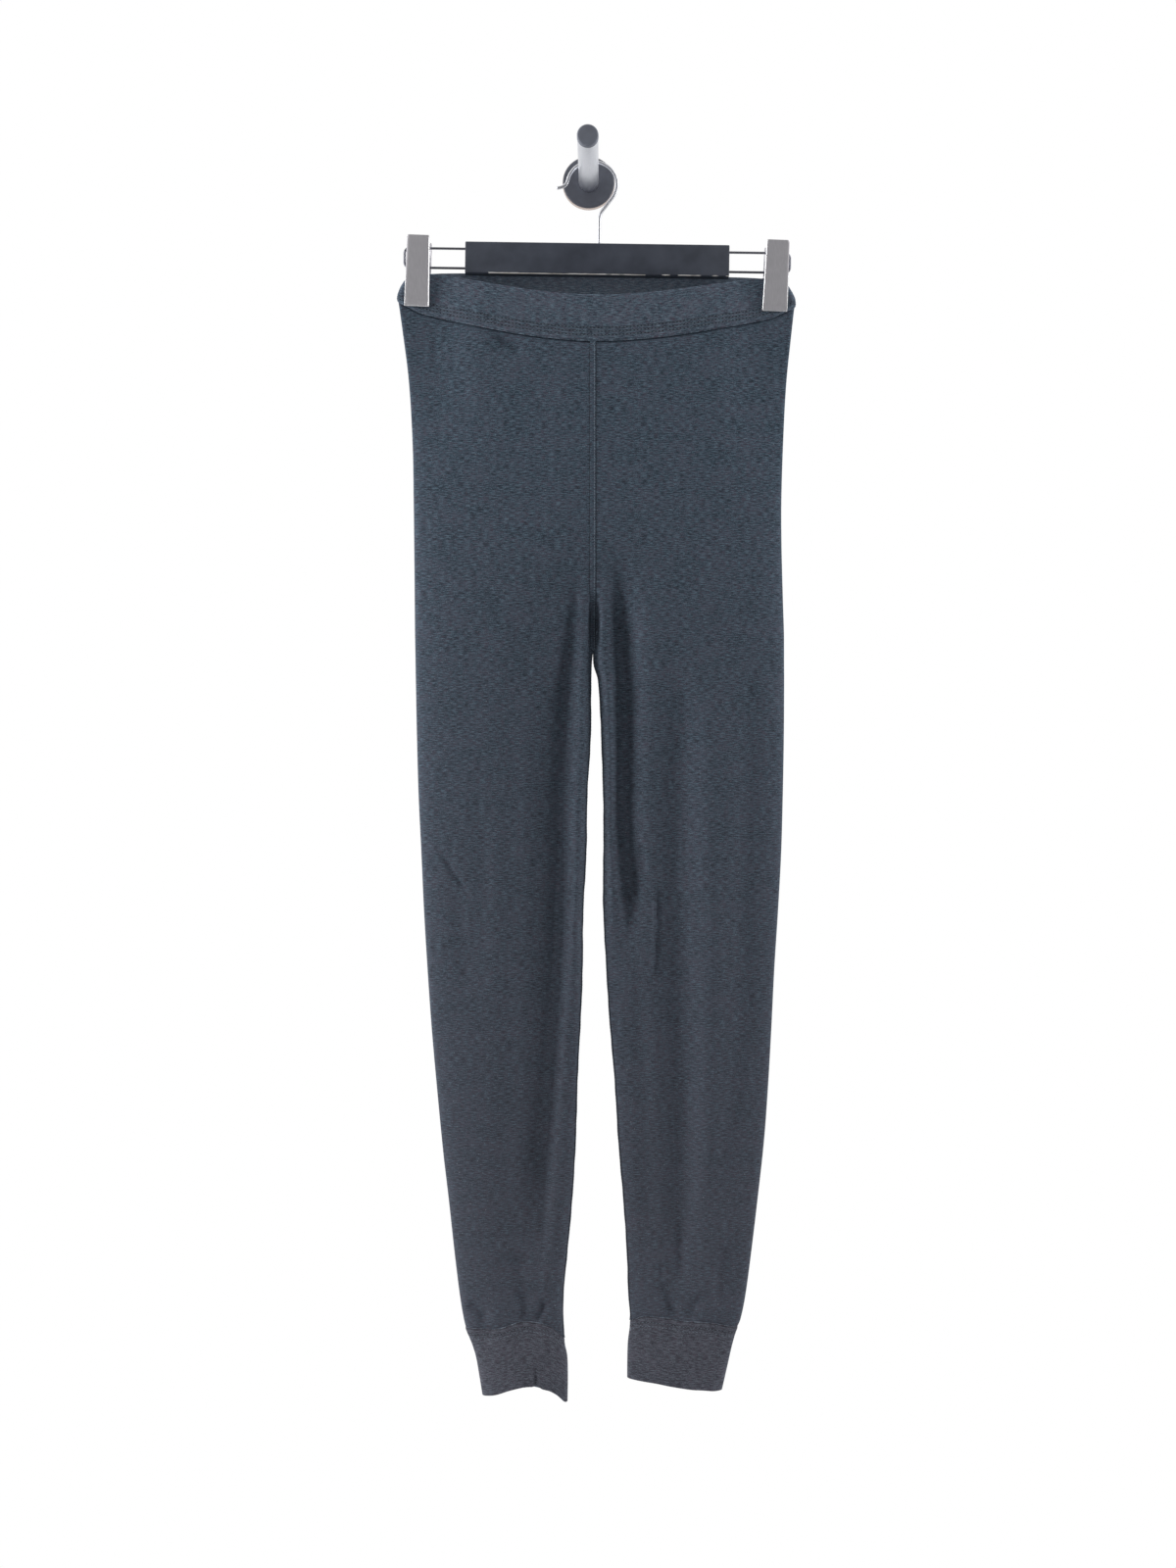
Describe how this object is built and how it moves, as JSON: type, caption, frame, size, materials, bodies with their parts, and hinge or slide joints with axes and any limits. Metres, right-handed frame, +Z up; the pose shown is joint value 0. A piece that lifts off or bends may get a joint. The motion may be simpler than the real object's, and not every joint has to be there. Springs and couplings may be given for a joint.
{
  "type": "leggings on a clip hanger and wall hook",
  "caption": "Knitted full-length leggings with a wide waistband and plain cuffs, held by a clip hanger on a wall hook.",
  "frame": {"origin": "centre of the wall plate's back face, where a wall holds the hook and all that hangs from it", "axes": "+Y into the wall, +Z up, +X towards the wearer's left; the garment's front faces -Y"},
  "size_m": [0.346, 0.1411, 1.0863],
  "materials": {
    "jersey": "dark blue-grey heather jersey",
    "band_jersey": "dark blue-grey heather jersey, doubled over elastic",
    "cuff_jersey": "dark grey heather jersey, doubled",
    "black_wood": "black paint, satin, worn along one edge",
    "satin_nickel": "satin nickel plate",
    "chrome_wire": "bright chrome plate",
    "black_plastic": "fine-grained satin black"
  },
  "bodies": {
    "root": {"waistband": "band_jersey", "leg_right": "jersey", "leg_left": "jersey", "cuff_right": "cuff_jersey", "cuff_left": "cuff_jersey", "hanger_bar": "black_wood", "hanger_hook": "chrome_wire", "rail_right": "chrome_wire", "rail_left": "chrome_wire", "clip_right_front": "satin_nickel", "clip_right_back": "satin_nickel", "clip_right_spring": "chrome_wire", "clip_left_front": "satin_nickel", "clip_left_back": "satin_nickel", "clip_left_spring": "chrome_wire", "wall_plate": "black_plastic", "wall_rod": "chrome_wire", "wall_cap": "black_plastic"}
  },
  "joints": []
}
